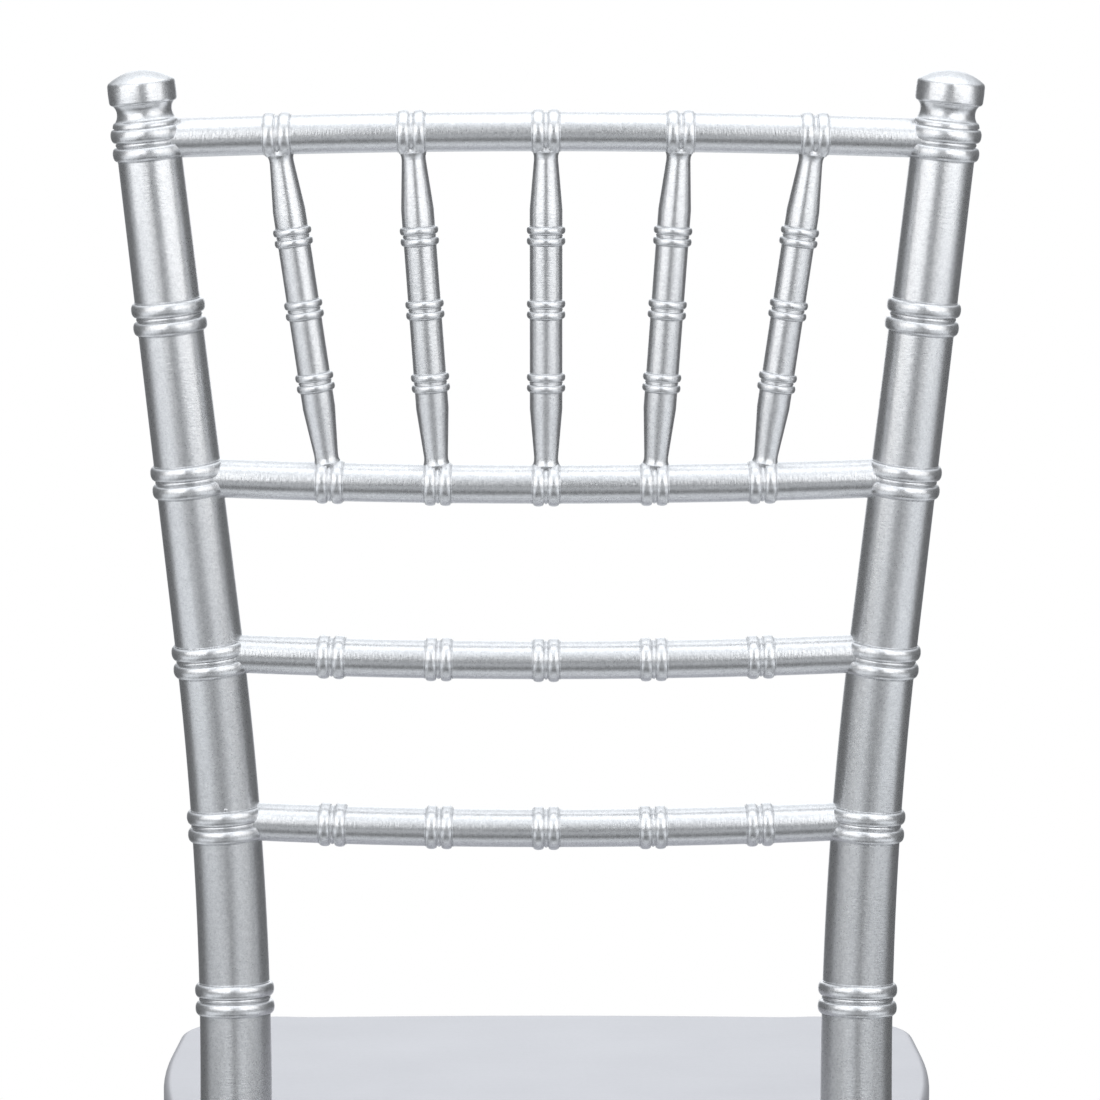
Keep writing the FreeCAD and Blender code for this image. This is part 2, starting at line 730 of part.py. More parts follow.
otherSide = [(-across, along, radius) for across, along, radius in reversed(planCorners[1:-1])]
corners, arcs = roundedPolygon(planCorners + otherSide)
drawOutline(plan, corners, arcs)
pad = board.newObject("PartDesign::Pad", "Board")
pad.Profile = plan
pad.setExpression("Length", seatThickness.text)
doc.recompute()


# Names of the edges that lie at one height
def edgesAt(shape, height):
    found = []
    for number, edge in enumerate(shape.Edges):
        if all(abs(vertex.Z - height) < 1e-6 for vertex in edge.Vertexes):
            found.append("Edge" + str(number + 1))
    return found


base = board.Tip
rounding = board.newObject("PartDesign::Fillet", "TopRound")
rounding.Base = (base, edgesAt(base.Shape, seatThickness.value))
rounding.setExpression("Radius", seatEdgeRound.text)
doc.recompute()

seatTools = []
notchStart = postAt(seatUnderside - notchOverrun.value)
notchEnd = postAt(seatHeight.value + notchOverrun.value)
notchRadius = shaftRadiusAt(lengthAtHeight(seatHeight.value)) + seatNotchGap
notchLength = seatThickness + notchOverrun * 2
socketLength = legTenonLength + socketStart + socketRelief
for side, move in (("Left", lambda point: point), ("Right", mirrorPoint)):
    start, finish = move(notchStart), move(notchEnd)
    seatTools.append(cylinder(side + "PostNotch", notchRadius, notchLength, start, finish - start))
    leg = move(legAt(seatUnderside - socketStart.value))
    socketRadius = legTenonRadius + glueGap
    seatTools.append(cylinder(side + "LegSocket", socketRadius, socketLength, leg, Vector(0, 0, 1)))
    for end, frame in bracketFrames.items():
        head, direction = screwPlaces(frame)["seat"]
        seatTools.append(pilotTool(side + end + "SeatPilot", (move(head), direction)))
nodes.append(("seat_panel", cut("seat_panel", board, seatTools)))

# Corner brackets of bent steel strip under the seat
for end, frame in bracketFrames.items():
    plate = newBody("bracket_" + end + "_left")
    profile = newSketch(plate, "Profile", "XZ_Plane")
    drawOutline(profile, [
        (nothing, nothing),
        (nothing, -plateDrop),
        (plateThickness, -plateDrop),
        (plateThickness, -plateThickness),
        (plateReach, -plateThickness),
        (plateReach, nothing),
    ])
    strip = plate.newObject("PartDesign::Pad", "Strip")
    strip.Profile = profile
    strip.Midplane = True
    strip.setExpression("Length", plateWidth.text)
    for name, role, across, along in (
            ("SeatHole", "XY_Plane", seatScrewFromCorner, nothing),
            ("LegHole", "YZ_Plane", nothing, -legScrewBelowSeat)):
        hole = newSketch(plate, name + "Outline", role)
        middle = Vector(across.value, along.value, 0)
        hole.addGeometry(Part.Circle(middle, Vector(0, 0, 1), plateHoleRadius.value), False)
        number = hole.addConstraint(Sketcher.Constraint("Radius", 0, plateHoleRadius.value))
        hole.setExpression("Constraints[" + str(number) + "]", plateHoleRadius.text)
        bindPoint(hole, "DistanceX", 0, across, 3)
        bindPoint(hole, "DistanceY", 0, along, 3)
        pocket = plate.newObject("PartDesign::Pocket", name)
        pocket.Profile = hole
        pocket.Type = "ThroughAll"
        pocket.Midplane = True
    plate.Placement = frame
    keep("bracket_" + end + "_left", plate)
    mirrored("bracket_" + end + "_right", plate)


def group(label, members):
    gathered = doc.addObject("Part::Compound", plainName(label))
    gathered.Links = members
    return keep(label, gathered)


screws = []
screwOutline = [
    (screwHeadRadius, nothing),
    (screwHeadRadius, screwHeadHeight),
    (screwRadius, screwHeadHeight),
    (screwRadius, screwHeadHeight + screwLength),
]
for end, frame in bracketFrames.items():
    for name, place in screwPlaces(frame).items():
        for side, (head, direction) in (("left", place), ("right", mirrorPlace(place))):
            label = "screw_" + end + "_" + name + "_" + side
            screws.append(turnedPiece(label, head, head + direction, screwOutline))
group("bracket_screws", screws)

# Headless pins, driven down at a slant from the back of each post into the rail tenons
pins = []
for label, place in pinPlaces.items():
    for side, (head, direction) in (("Left", place), ("Right", mirrorPlace(place))):
        pins.append(cylinder(plainName(label) + side + "Pin", pinRadius, pinLength, head, direction))
group("rail_pins", pins)

# Glides: a round foot with a stem pressed up into the leg
glideOutline = [
    (glideRadius - glideChamfer, nothing),
    (glideRadius, glideChamfer),
    (glideRadius, glideHeight),
    (glideStemRadius, glideHeight),
    (glideStemRadius, glideHeight + glideStemLength),
]
for label, foot in (
        ("glide_front_left", legAt(0)), ("glide_front_right", mirrorPoint(legAt(0))),
        ("glide_rear_left", postFoot), ("glide_rear_right", mirrorPoint(postFoot))):
    ground = Vector(foot.x, foot.y, 0)
    keep(label, turnedPiece(label, ground, ground + Vector(0, 0, 1), glideOutline))

doc.recompute()
for item in doc.Objects:
    if "Invalid" in item.State or "Error" in item.State:
        raise RuntimeError(item.Name + " failed: " + str(item.State))
os.makedirs("parts", exist_ok=True)
for label, item in nodes:
    shape = item.Shape
    if shape.isNull() or not shape.isValid() or not shape.Solids:
        raise RuntimeError(label + " has no valid solid")
    shape.exportStep("parts/" + label + ".step")
    print(label, len(shape.Solids), "solids,", round(shape.Volume), "mm3")
print(len(nodes), "nodes")
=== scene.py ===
import math
import bpy
from mathutils import Matrix, Vector


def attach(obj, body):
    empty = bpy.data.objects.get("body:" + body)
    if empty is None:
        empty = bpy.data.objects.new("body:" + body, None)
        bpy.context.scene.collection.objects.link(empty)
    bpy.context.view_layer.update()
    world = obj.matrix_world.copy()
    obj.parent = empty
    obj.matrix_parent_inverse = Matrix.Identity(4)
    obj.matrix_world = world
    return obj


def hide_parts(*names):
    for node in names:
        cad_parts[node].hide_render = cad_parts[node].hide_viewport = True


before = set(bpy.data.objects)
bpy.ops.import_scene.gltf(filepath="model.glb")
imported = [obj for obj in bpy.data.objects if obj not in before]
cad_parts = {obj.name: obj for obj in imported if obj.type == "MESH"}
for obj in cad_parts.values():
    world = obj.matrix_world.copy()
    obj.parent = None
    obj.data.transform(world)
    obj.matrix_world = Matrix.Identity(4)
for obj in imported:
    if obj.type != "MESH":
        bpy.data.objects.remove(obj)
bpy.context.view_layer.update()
mm = 0.001
print("stage 1: frame loaded,", len(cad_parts), "CAD nodes")

# Camera; its place and the studio's are in metres, the pieces' sizes further down in mm
camera = {
    "place": (-0.0017, 2.0071, 0.812),
    "pitchDown": 3.134,     # degrees
    "focal": 137.45,        # lens, mm
    "sensor": 36,           # width, mm
    "clipEnd": 60,
}
bpy.ops.object.camera_add(location=camera["place"])
photoCamera = bpy.context.object
photoCamera.name = "photo_camera"
photoCamera.data.lens = camera["focal"]
photoCamera.data.sensor_width = camera["sensor"]
photoCamera.data.sensor_fit = "HORIZONTAL"
photoCamera.data.clip_end = camera["clipEnd"]
lookBack = Matrix.Rotation(math.pi, 4, "Z")
tiltDown = Matrix.Rotation(math.radians(90 - camera["pitchDown"]), 4, "X")
photoCamera.matrix_world = Matrix.Translation(camera["place"]) @ lookBack @ tiltDown
bpy.context.scene.camera = photoCamera
bpy.context.scene.view_settings.view_transform = "Standard"


def grey(level):
    return (level, level, level, 1)


# Shader maths: a wire is a node's output socket that can be added, multiplied and so on
class Wire:
    def __init__(self, bench, socket):
        self.bench = bench
        self.socket = socket

    def join(self, operation, *terms):
        return self.bench.put("ShaderNodeMath", {"operation": operation}, dict(enumerate(terms)))

    def __add__(self, other):
        return self.join("ADD", self, other)

    def __radd__(self, other):
        return self.join("ADD", other, self)

    def __sub__(self, other):
        return self.join("SUBTRACT", self, other)

    def __rsub__(self, other):
        return self.join("SUBTRACT", other, self)

    def __mul__(self, other):
        return self.join("MULTIPLY", self, other)

    def __rmul__(self, other):
        return self.join("MULTIPLY", other, self)

    def __abs__(self):
        return self.join("ABSOLUTE", self)

    # The larger of two wires
    def orMore(self, other):
        return self.join("MAXIMUM", self, other)


# The node bench of one material or of the world
class Bench:
    def __init__(self, owner):
        owner.use_nodes = True
        self.tree = owner.node_tree
        self.tree.nodes.clear()

    def put(self, kind, settings=None, inputs=None, output=0):
        node = self.tree.nodes.new(kind)
        for name, value in (settings or {}).items():
            if name == "stops":
                ramp = node.color_ramp
                while len(ramp.elements) < len(value):
                    ramp.elements.new(0.5)
                for element, (place, level) in zip(ramp.elements, value):
                    element.position = place
                    element.color = grey(level)
            else:
                setattr(node, name, value)
        for name, value in (inputs or {}).items():
            if isinstance(value, Wire):
                self.tree.links.new(value.socket, node.inputs[name])
            else:
                node.inputs[name].default_value = value
        return Wire(self, node.outputs[output]) if node.outputs else None

    # Mix of two colours; sockets 6, 7 and 2 are the node's colour ones
    def blend(self, factor, first, second, kind="MIX"):
        settings = {"data_type": "RGBA", "blend_type": kind}
        return self.put("ShaderNodeMix", settings, {0: factor, 6: first, 7: second}, 2)

    # Grey level of a wire read through a ramp of (place, level) stops
    def ramp(self, factor, stops):
        return self.put("ShaderNodeValToRGB", {"stops": stops}, {0: factor})

    # Share from 0 to 1 of the way from one value to another
    def share(self, value, start, finish, kind="LINEAR"):
        return self.put("ShaderNodeMapRange", {"interpolation_type": kind},
                        {0: value, 1: start, 2: finish})

    # The same share, eased at both ends
    def rise(self, value, start, finish):
        return self.share(value, start, finish, "SMOOTHSTEP")

    def stretch(self, place, scales):
        return self.put("ShaderNodeMapping", None, {"Vector": place, "Scale": scales})

    def noise(self, place, scale, detail=2.0, roughness=0.5):
        return self.put("ShaderNodeTexNoise", None,
                        {"Vector": place, "Scale": scale, "Detail": detail, "Roughness": roughness})

    def bump(self, height, depth, strength=1.0):
        return self.put("ShaderNodeBump", None,
                        {"Strength": strength, "Distance": depth, "Height": height})


print("stage 2: camera and shader tools ready")

# Lacquer; depths are in metres, scales in waves to the metre
lacquer = {
    "colour": (0.835, 0.841, 0.852, 1),
    "darkFlake": (0.65, 0.657, 0.67, 1),
    "metallic": 0.92,
    "roughness": 0.29,
    "roughnessSpread": 0.08,    # over the clouds
    "flakeRoughness": 0.1,      # from flake to flake
    "coat": 0.1,
    "coatRoughness": 0.15,
    "cloudScale": 22,
    "flakeScale": 1300,
    "marksAlong": 1250,         # lathe marks: thin rings, close along the axis and long round it
    "marksAcross": 420,
    "marksDepth": 0.00007,
    "grainAcross": 260,         # wood grain, long along the axis
    "grainAlong": 9,
    "grainDepth": 0.00003,
    "mottleScale": 560,         # orange peel of the sprayed coat
    "mottleDepth": 0.4,         # as a share of the marks' depth
    # what each pattern adds to the mask that goes from dark flake to colour, and the mask's range
    "flakeShare": 0.45, "grainShare": 0.13, "marksShare": 0.12, "mottleShare": 0.3,
    "maskLow": 0.4, "maskHigh": 0.6,
}


# Silver lacquer; along names the axis that the piece was turned about, which its grain follows
def lacquerMaterial(name, along, look):
    material = bpy.data.materials.new(name)
    bench = Bench(material)
    place = bench.put("ShaderNodeTexCoord", output="Object")
    fibres, marks = [look["grainAcross"]] * 3, [look["marksAcross"]] * 3
    axis = "XYZ".index(along)
    fibres[axis], marks[axis] = look["grainAlong"], look["marksAlong"]
    grain = bench.noise(bench.stretch(place, fibres), 1.0, detail=3.0, roughness=0.6)
    turned = bench.noise(bench.stretch(place, marks), 1.0, roughness=0.6)
    flake = bench.noise(place, look["flakeScale"], roughness=0.7)
    cloud = bench.noise(place, look["cloudScale"], detail=3.0)
    mottle = bench.noise(place, look["mottleScale"], roughness=0.6)
    mask = flake * look["flakeShare"] + grain * look["grainShare"]
    mask = mask + turned * look["marksShare"] + mottle * look["mottleShare"]
    colour = bench.blend(bench.share(mask, look["maskLow"], look["maskHigh"]),
                         look["darkFlake"], look["colour"])
    rough = look["roughness"] + (cloud - 0.5) * look["roughnessSpread"]
    rough = rough + (flake - 0.5) * look["flakeRoughness"]
    height = grain * (look["grainDepth"] / look["marksDepth"]) + turned + mottle * look["mottleDepth"]
    shader = bench.put("ShaderNodeBsdfPrincipled", None, {
        "Base Color": colour, "Metallic": look["metallic"], "Roughness": rough,
        "Normal": bench.bump(height, look["marksDepth"]),
        "Coat Weight": look["coat"], "Coat Roughness": look["coatRoughness"]})
    bench.put("ShaderNodeOutputMaterial", None, {"Surface": shader})
    return material


railLacquer = dict(lacquer, marksDepth=0.00009)
seatLacquer = dict(lacquer, colour=(0.50, 0.502, 0.535, 1), darkFlake=(0.472, 0.474, 0.505, 1),
                   metallic=0.6, roughness=0.42, marksDepth=0.00002, marksAlong=400, grainDepth=0.00002)
standing = lacquerMaterial("silver_lacquer_standing", "Z", lacquer)
lying = lacquerMaterial("silver_lacquer_across", "X", railLacquer)
running = lacquerMaterial("silver_lacquer_front_to_back", "Y", lacquer)
boardPaint = lacquerMaterial("silver_lacquer_board", "X", seatLacquer)

# Metal and nylon of the fittings under the seat and the feet
fittings = {
    "zinc": {"colour": (0.66, 0.67, 0.68, 1), "metallic": 1.0, "roughness": 0.38, "scale": 700},
    "nylon": {"colour": (0.16, 0.16, 0.17, 1), "metallic": 0.0, "roughness": 0.55, "scale": 900},
    "darkest": 0.86,            # share of the colour in the darkest specks
    "roughnessSpread": 0.2,
    "bumpStrength": 0.1,
    "bumpDepth": 0.0003,
}


def fittingMaterial(name, look):
    material = bpy.data.materials.new(name)
    bench = Bench(material)
    place = bench.put("ShaderNodeTexCoord", output="Object")
    specks = bench.noise(place, look["scale"], detail=3.0, roughness=0.6)
    dark = [fittings["darkest"] * part for part in look["colour"][:3]] + [1]
    shader = bench.put("ShaderNodeBsdfPrincipled", None, {
        "Base Color": bench.blend(specks, dark, look["colour"]), "Metallic": look["metallic"],
        "Roughness": look["roughness"] + (specks - 0.5) * fittings["roughnessSpread"],
        "Normal": bench.bump(specks, fittings["bumpDepth"], fittings["bumpStrength"])})
    bench.put("ShaderNodeOutputMaterial", None, {"Surface": shader})
    return material


zinc = fittingMaterial("zinc_plate", fittings["zinc"])
nylon = fittingMaterial("grey_nylon", fittings["nylon"])
print("stage 3: materials ready")

# Lathe, mm and degrees
lathe = {
    "merge": 0.002,         # points closer than this become one
    "smoothAngle": 38,
    "guideSteps": 96,
    "beadPower": 0.75,      # of a half round's sine: under 1 makes the bead fuller
    "beadSteps": 8,
    "ridgeSteps": 6,
    "fillet": 0.12,         # length of the slope at either end of a ring pair
    "gap": 0.02,            # between plain shaft and ring pair, so that no two points meet
    "footRound": 1.2,       # rounding of a foot's edge
    "footAngle": -60,       # where that rounding starts
    "footSteps": 3,
    "footHeight": 1.4,      # where the plain shaft starts above the foot
}


# Selects one piece alone
def pick(piece):
    bpy.ops.object.select_all(action="DESELECT")
    piece.select_set(True)
    bpy.context.view_layer.objects.active = piece


# Merges points that meet and turns every face outwards
def closeUp(piece):
    pick(piece)
    bpy.ops.object.mode_set(mode="EDIT")
    bpy.ops.mesh.select_all(action="SELECT")
    bpy.ops.mesh.remove_doubles(threshold=lathe["merge"] * mm)
    bpy.ops.mesh.normals_make_consistent(inside=False)
    bpy.ops.object.mode_set(mode="OBJECT")


# A piece turned about the Z axis from its outline of (radius, distance) points
def turn(name, outline, sides):
    bpy.ops.object.select_all(action="DESELECT")
    bpy.ops.mesh.primitive_plane_add(size=mm)
    piece = bpy.context.object
    piece.name = piece.data.name = name
    bpy.ops.object.mode_set(mode="EDIT")
    bpy.ops.mesh.select_all(action="SELECT")
    bpy.ops.mesh.merge(type="CENTER")
    radius, distance = outline[0]
    bpy.ops.transform.translate(value=(radius * mm, 0, distance * mm))
    for (fromRadius, fromDistance), (toRadius, toDistance) in zip(outline, outline[1:]):
        step = ((toRadius - fromRadius) * mm, 0, (toDistance - fromDistance) * mm)
        bpy.ops.mesh.extrude_vertices_move(TRANSFORM_OT_translate={"value": step})
    bpy.ops.mesh.select_all(action="SELECT")
    bpy.ops.mesh.spin(steps=sides, angle=2 * math.pi, center=(0, 0, 0), axis=(0, 0, 1))
    bpy.ops.object.mode_set(mode="OBJECT")
    closeUp(piece)
    return piece


# Half-round bead between two distances on a shaft of that radius
def bead(low, high, radius, rise, steps):
    middle, half = (low + high) / 2, (high - low) / 2
    points = []
    for step in range(steps + 1):
        angle = math.pi * step / steps
        swell = rise * math.sin(angle) ** lathe["beadPower"]
        points.append((radius + swell, middle - half * math.cos(angle)))
    return points


# Ring pair: fillet, bead, groove with a thin ridge, bead, fillet. Of its values, half, groove and ridge
# are half widths, step and ledge the fillets' height and length, and floor is where the ridge stands.
def ringPair(middle, radius, pair):
    half, ledge, groove, ridge = pair["half"], pair["ledge"], pair["groove"], pair["ridge"]
    steps, shoulder, edge = lathe["beadSteps"], radius + pair["step"], half - lathe["fillet"]
    points = [(radius, middle - half), (shoulder, middle - edge)]
    points += bead(middle - half + ledge, middle - groove, radius, pair["rise"], steps)
    points += bead(middle - ridge, middle + ridge, radius + pair["floor"], pair["ridgeRise"],
                   lathe["ridgeSteps"])
    points += bead(middle + groove, middle + half - ledge, radius, pair["rise"], steps)
    points += [(shoulder, middle + edge), (radius, middle + half)]
    return points


# Plain stretches of shaft get a point every few millimetres so that they bend smoothly
def shaft(low, high, radiusAt, spacing):
    count = max(1, round((high - low) / spacing))
    stations = [low + (high - low) * step / count for step in range(count + 1)]
    return [(radiusAt(station), station) for station in stations]


# Shaft with a ring pair at each station, and on to its end where it has one
def ringedShaft(low, stations, radiusAt, pair, spacing, end=None):
    points = []
    for middle in stations:
        points += shaft(low, middle - pair["half"] - lathe["gap"], radiusAt, spacing)
        points += ringPair(middle, radiusAt(middle), pair)
        low = middle + pair["half"] + lathe["gap"]
    if end is not None:
        points += shaft(low, end, radiusAt, spacing)
    return points


def arc(centre, radius, fromDegrees, toDegrees, steps):
    points = []
    for step in range(steps + 1):
        angle = math.radians(fromDegrees + (toDegrees - fromDegrees) * step / steps)
        points.append((centre[0] + radius * math.cos(angle), centre[1] + radius * math.sin(angle)))
    return points


# Underside and rounded edge of a post's or leg's foot
def foot(low, radius):
    edge, inner = lathe["footRound"], radius - lathe["footRound"]
    return [(0, low), (inner, low)] + arc((inner, low + edge), edge, lathe["footAngle"], 0,
                                          lathe["footSteps"])


# Length of the Bezier handles that draw an arc
def arcHandle(angle, radius):
    return 4 / 3 * math.tan(angle / 4) * radius


# Moves a turned piece so that its Z axis runs from one point towards another
def lay(piece, start, finish):
    turned = Vector((0, 0, 1)).rotation_difference((finish - start).normalized())
    piece.matrix_world = Matrix.Translation(start * mm) @ turned.to_matrix().to_4x4()
    pick(piece)
    bpy.ops.object.transform_apply(location=True, rotation=True, scale=True)


# Bends a turned piece along a line of Bezier knots: (place, handle before, handle after)
def bendAlong(piece, knots):
    bpy.ops.object.select_all(action="DESELECT")
    bpy.ops.curve.primitive_bezier_curve_add()
    guide = bpy.context.object
    guide.data.dimensions = "3D"
    guide.data.resolution_u = lathe["guideSteps"]
    guide.data.use_stretch = False
    guide.data.use_deform_bounds = False
    spline = guide.data.splines[0]
    spline.bezier_points.add(len(knots) - 2)
    for point, knot in zip(spline.bezier_points, knots):
        point.handle_left_type = point.handle_right_type = "FREE"
        point.co, point.handle_left, point.handle_right = [spot * mm for spot in knot]
    bend = piece.modifiers.new("Bend", "CURVE")
    bend.object = guide
    bend.deform_axis = "POS_Z"
    pick(piece)
    bpy.ops.object.modifier_apply(modifier="Bend")
    bpy.data.objects.remove(guide)


def copyOf(piece, name):
    twin = piece.copy()
    twin.data = piece.data.copy()
    twin.name = twin.data.name = name
    bpy.context.collection.objects.link(twin)
    return twin


def mirrorOf(piece, name):
    twin = copyOf(piece, name)
    twin.scale.x = -1
    pick(twin)
    bpy.ops.object.transform_apply(location=False, rotation=False, scale=True)
    closeUp(twin)
    return twin


def mirrorPoint(point):
    return Vector((-point.x, point.y, point.z))


def paint(piece, material):
    piece.data.materials.clear()
    piece.data.materials.append(material)


def finishPiece(piece, material, slot, *nodes):
    pick(piece)
    bpy.ops.object.shade_smooth_by_angle(angle=math.radians(lathe["smoothAngle"]))
    paint(piece, material)
    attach(piece, "root")
    if nodes:
        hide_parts(*nodes)


# Posts, mm and degrees
post = {
    "sides": 56,
    "step": 9.0,
    "bendStart": (137.91, 156.2, 450.0),    # on the left post's axis
    "bendRadius": 977.0, "bendDegrees": 12.96,
    "footOut": 0.0068, "footBack": 0.08,    # splay below the bend, as slopes
    "bendOut": 0.1138, "bendBack": 0.2,     # which way it bends
    "footRadius": 13.0, "seatRadius": 16.0, "topRadius": 13.95,
    "seatHeight": 444.0, "glide": 4.0, "top": 920.0,
    "rings": (110, 205, 300, 388, 511.1, 589.1, 663.2, 742.6, 813.7, 888.7),
    "guideBelow": 30, "guideAbove": 300,    # how far the bending line goes past the floor and the bend
    "shortest": -600.0, "longest": 900.0,   # lengths from the bend's start that surely hold the post
    "halvings": 60,
}
postPair = {"half": 7.5, "rise": 1.88, "step": 0.25, "ledge": 0.5,
            "groove": 1.0, "ridge": 0.75, "ridgeRise": 0.5, "floor": -0.3}
finial = {
    # radius and height above the top ring pair
    "neck": ((14.5, 7.45), (14.45, 8.1), (14.25, 8.8), (13.9, 9.35), (13.45, 9.7), (13.15, 9.85),
             (12.8, 10.3), (12.35, 11.2), (12.05, 12.3), (11.95, 13.4), (12.05, 14.5), (12.35, 15.5),
             (12.9, 16.4), (13.4, 17.0)),
    "cap": 14.7, "capBottom": 16.9, "edge": 1.6, "edgeAngle": -62, "edgeSteps": 7,
    "barrel": 0.1,                          # how far the cap's wall swells
    "shoulder": 2.4, "shoulderSteps": 7,
    "domeHeight": 5.2, "domeSteps": 8,
}

upward = Vector((-post["footOut"], -post["footBack"], 1)).normalized()
sideways = Vector((post["bendOut"], post["bendBack"], 0))
sideways = (sideways - upward * sideways.dot(upward)).normalized()
bendStart = Vector(post["bendStart"])
bendLength = post["bendRadius"] * math.radians(post["bendDegrees"])


# Point of the left post's axis, by its length from the start of the bend
def axisPoint(length):
    radius = post["bendRadius"]
    turned = min(max(length, 0), bendLength) / radius
    beyond = max(length - bendLength, 0)
    across = radius * (1 - math.cos(turned)) + beyond * math.sin(turned)
    along = min(length, 0) + radius * math.sin(turned) + beyond * math.cos(turned)
    return bendStart + sideways * across + upward * along


def lengthAt(height):
    low, high = post["shortest"], post["longest"]
    for halving in range(post["halvings"]):
        middle = (low + high) / 2
        if axisPoint(middle).z < height:
            low = middle
        else:
            high = middle
    return (low + high) / 2


def postAt(height):
    return axisPoint(lengthAt(height))


footLength, seatLength = lengthAt(0), lengthAt(post["seatHeight"])
topLength = lengthAt(post["rings"][-1])
guideStart = lengthAt(-post["guideBelow"])


def postRadius(length):
    if length < seatLength:
        share = (length - footLength) / (seatLength - footLength)
        return post["footRadius"] + (post["seatRadius"] - post["footRadius"]) * share
    share = (length - seatLength) / (topLength - seatLength)
    return post["seatRadius"] + (post["topRadius"] - post["seatRadius"]) * share


# Coved neck, then a cap whose rounded shoulder runs smoothly into its dome
def finialOutline():
    cap, edge, shoulder = finial["cap"], finial["edge"], finial["shoulder"]
    edgeTop = finial["capBottom"] + edge
    dome = (cap ** 2 + finial["domeHeight"] ** 2) / (2 * finial["domeHeight"])
    slope = (axisPoint(topLength) - axisPoint(topLength - 1)).z
    headroom = post["top"] - axisPoint(topLength).z
    top = (headroom - dome) / slope + dome
    offset = math.sqrt((dome - shoulder) ** 2 - (cap - shoulder) ** 2)
    meets = math.degrees(math.atan2(offset, cap - shoulder))
    wallTop = top - dome + offset
    points = list(finial["neck"])
    points += arc((cap - edge, edgeTop), edge, finial["edgeAngle"], 0, finial["edgeSteps"])
    points.append((cap + finial["barrel"], (edgeTop + wallTop) / 2))
    points += arc((cap - shoulder, wallTop), shoulder, 0, meets, finial["shoulderSteps"])
    points += arc((0, top - dome), dome, meets, 90, finial["domeSteps"])[1:]
    return [(radius, topLength + rise) for radius, rise in points]


def postOutline():
    low = lengthAt(post["glide"])
    stations = [lengthAt(height) for height in post["rings"]]
    points = foot(low, postRadius(low))
    points += ringedShaft(low + lathe["footHeight"], stations, postRadius, postPair, post["step"])
    points.pop()    # the neck takes over from the top ring pair's last point
    points += finialOutline()
    return [(radius, distance - guideStart) for radius, distance in points]


def postGuide():
    first, start, finish = axisPoint(guideStart), axisPoint(0), axisPoint(bendLength)
    last = axisPoint(bendLength + post["guideAbove"])
    lower, upper = (start - first).normalized(), (last - finish).normalized()
    reach = arcHandle(math.radians(post["bendDegrees"]), post["bendRadius"])
    third, topThird = (start - first) / 3, (last - finish) / 3
    return [(first, first - third, first + third),
            (start, start - third, start + lower * reach),
            (finish, finish - upper * reach, finish + topThird),
            (last, last - topThird, last + topThird)]


leftPost = turn("left_rear_post", postOutline(), post["sides"])
bendAlong(leftPost, postGuide())
rightPost = mirrorOf(leftPost, "right_rear_post")
finishPiece(leftPost, standing, "silver_lacquered_beech", "rear_post_left")
finishPiece(rightPost, standing, "silver_lacquered_beech", "rear_post_right")
print("stage 4: posts turned and bent")

# Back rails, mm
rail = {
    "sides": 48, "step": 8.0,
    "radius": 8.5, "bow": 5.0, "topRise": 3.0, "lowerDrop": 3.0,
    "heights": {"top_rail": 890.1, "spindle_rail": 743.4, "middle_rail": 665.7, "lower_rail": 590.7},
    "collars": (-2, -1, 0, 1, 2),   # in pitches from the middle; the spindles stand there too
    "topPitch": 57.9, "pitch": 47.2,
    "endFromAxis": 6.0,
}
smallPair = {"half": 6.3, "rise": 1.3, "step": 0.25, "ledge": 0.6,
             "groove": 1.0, "ridge": 0.6, "ridgeRise": 0.45, "floor": -0.2}


# The rail's arc: half span, radius, and the frame whose X-Y plane holds it
def railArc(name):
    height = rail["heights"][name]
    rise = rail["topRise"] if name == "top_rail" else -rail["lowerDrop"]
    end = postAt(height)
    sag = math.hypot(rise, rail["bow"])
    radius = (end.x ** 2 + sag ** 2) / (2 * sag)
    tilt = Matrix.Rotation(math.atan2(rise, rail["bow"]), 4, "X")
    return end.x, radius, Matrix.Translation((0, end.y + rail["bow"], height + rise)) @ tilt


def onArc(radius, angle):
    return Vector((radius * math.sin(angle), -radius * (1 - math.cos(angle)), 0))


def railPoint(name, distance):
    radius, place = railArc(name)[1:]
    return place @ onArc(radius, distance / radius)


def railGuide(name):
    half, radius, place = railArc(name)
    turned = math.asin(half / radius)
    knots = []
    for angle in (-turned, turned):
        point = onArc(radius, angle)
        handle = Vector((math.cos(angle), -math.sin(angle), 0)) * arcHandle(2 * turned, radius)
        knots.append([place @ spot for spot in (point, point - handle, point + handle)])
    return knots, radius * turned


# The same all along a rail
def railRadius(station):
    return rail["radius"]


for name in rail["heights"]:
    knots, halfLength = railGuide(name)
    pitch = rail["topPitch"] if name == "top_rail" else rail["pitch"]
    stations = [place * pitch for place in rail["collars"]]
    end = halfLength - rail["endFromAxis"]
    points = [(0, -end)] + ringedShaft(-end, stations, railRadius, smallPair, rail["step"], end)
    points = [(radius, distance + halfLength) for radius, distance in points + [(0, end)]]
    piece = turn("turned_" + name, points, rail["sides"])
    bendAlong(piece, knots)
    finishPiece(piece, lying, "silver_lacquered_beech", name)
print("stage 5: back rails turned and bowed")

